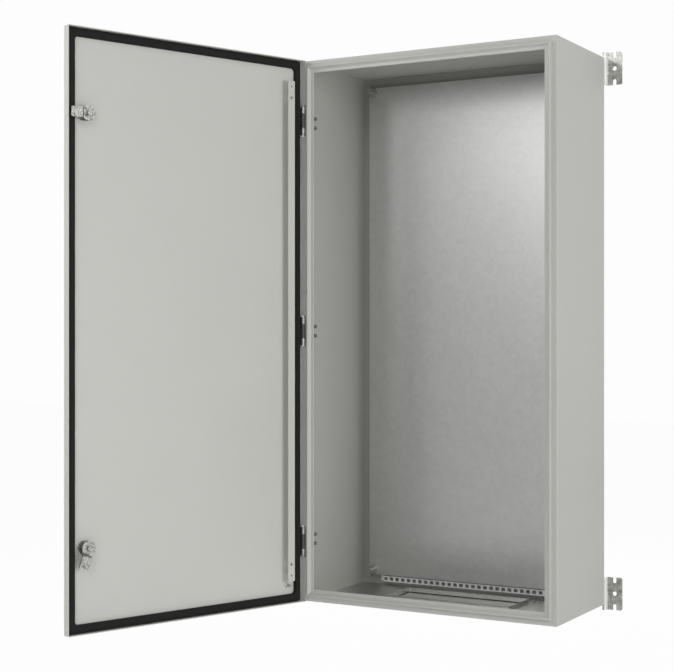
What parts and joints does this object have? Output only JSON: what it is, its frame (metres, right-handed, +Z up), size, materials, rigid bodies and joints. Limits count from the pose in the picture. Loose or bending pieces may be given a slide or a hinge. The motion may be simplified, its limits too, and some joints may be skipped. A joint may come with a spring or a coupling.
{
  "type": "wall-mount enclosure",
  "caption": "Wall-mount steel enclosure with a hinged door on quarter-turn cam locks, a mounting plate, a cable entry in the floor and wall brackets.",
  "frame": {"origin": "centre of the rectangle of wall bolts, on the face of the wall", "axes": "+Z up, +X to the right seen from the front, +Y into the wall"},
  "size_m": [0.8471, 0.8625, 1.222],
  "materials": {
    "shell": "light grey powder coat, fine texture",
    "door": "light grey powder coat, fine texture",
    "foam": "black foamed seal, matte skin",
    "galvanised": "galvanised sheet, dull sheen",
    "zinc": "bright zinc plating",
    "hinge_steel": "zinc-plated steel, satin",
    "lock_metal": "nickel-plated die casting, satin"
  },
  "bodies": {
    "enclosure": {"left_wall": "shell", "right_wall": "shell", "top_wall": "shell", "bottom_wall": "shell", "back_panel": "shell", "gland_gasket": "foam", "gland_plate": "shell", "gland_screws": "zinc", "mounting_plate": "galvanised", "plate_studs": "zinc", "plate_spacers": "zinc", "plate_washers": "zinc", "plate_nuts": "zinc", "cable_tie_strip": "galvanised", "wall_bracket_upper_left": "zinc", "wall_bracket_lower_left": "zinc", "wall_bracket_upper_right": "zinc", "wall_bracket_lower_right": "zinc", "bracket_screws": "zinc", "bracket_nuts": "zinc", "hinge_body_leaf_upper": "hinge_steel", "hinge_body_leaf_middle": "hinge_steel", "hinge_body_leaf_lower": "hinge_steel", "hinge_studs": "zinc", "hinge_nuts": "zinc", "hinge_pins": "hinge_steel", "earth_stud": "zinc", "earth_nut": "zinc"},
    "door": {"door_panel": "door", "door_gasket": "foam", "door_stiffener": "door", "hinge_door_leaf_upper": "hinge_steel", "hinge_door_leaf_middle": "hinge_steel", "hinge_door_leaf_lower": "hinge_steel", "lock_housing_upper": "lock_metal", "lock_housing_lower": "lock_metal", "lock_seal_upper": "foam", "lock_seal_lower": "foam", "lock_nut_upper": "zinc", "lock_nut_lower": "zinc", "door_earth_stud": "zinc", "door_earth_nut": "zinc"},
    "upper_lock": {"lock_rotor_upper": "lock_metal", "lock_cam_upper": "zinc", "cam_screw_upper": "zinc"},
    "lower_lock": {"lock_rotor_lower": "lock_metal", "lock_cam_lower": "zinc", "cam_screw_lower": "zinc"}
  },
  "joints": [
    {"name": "door_hinge", "type": "hinge", "parent": "enclosure", "child": "door", "pos_m": [-0.2955, -0.301, 0], "axis": [0, 0, 1], "range_deg": [-10, 110]},
    {"name": "upper_lock_turn", "type": "hinge", "parent": "door", "child": "upper_lock", "pos_m": [-0.48378, -0.8183, 0.43], "axis": [0.9397, -0.342, 0], "range_deg": [0, 90]},
    {"name": "lower_lock_turn", "type": "hinge", "parent": "door", "child": "lower_lock", "pos_m": [-0.48378, -0.8183, -0.43], "axis": [0.9397, -0.342, 0], "range_deg": [-69, 21]}
  ]
}
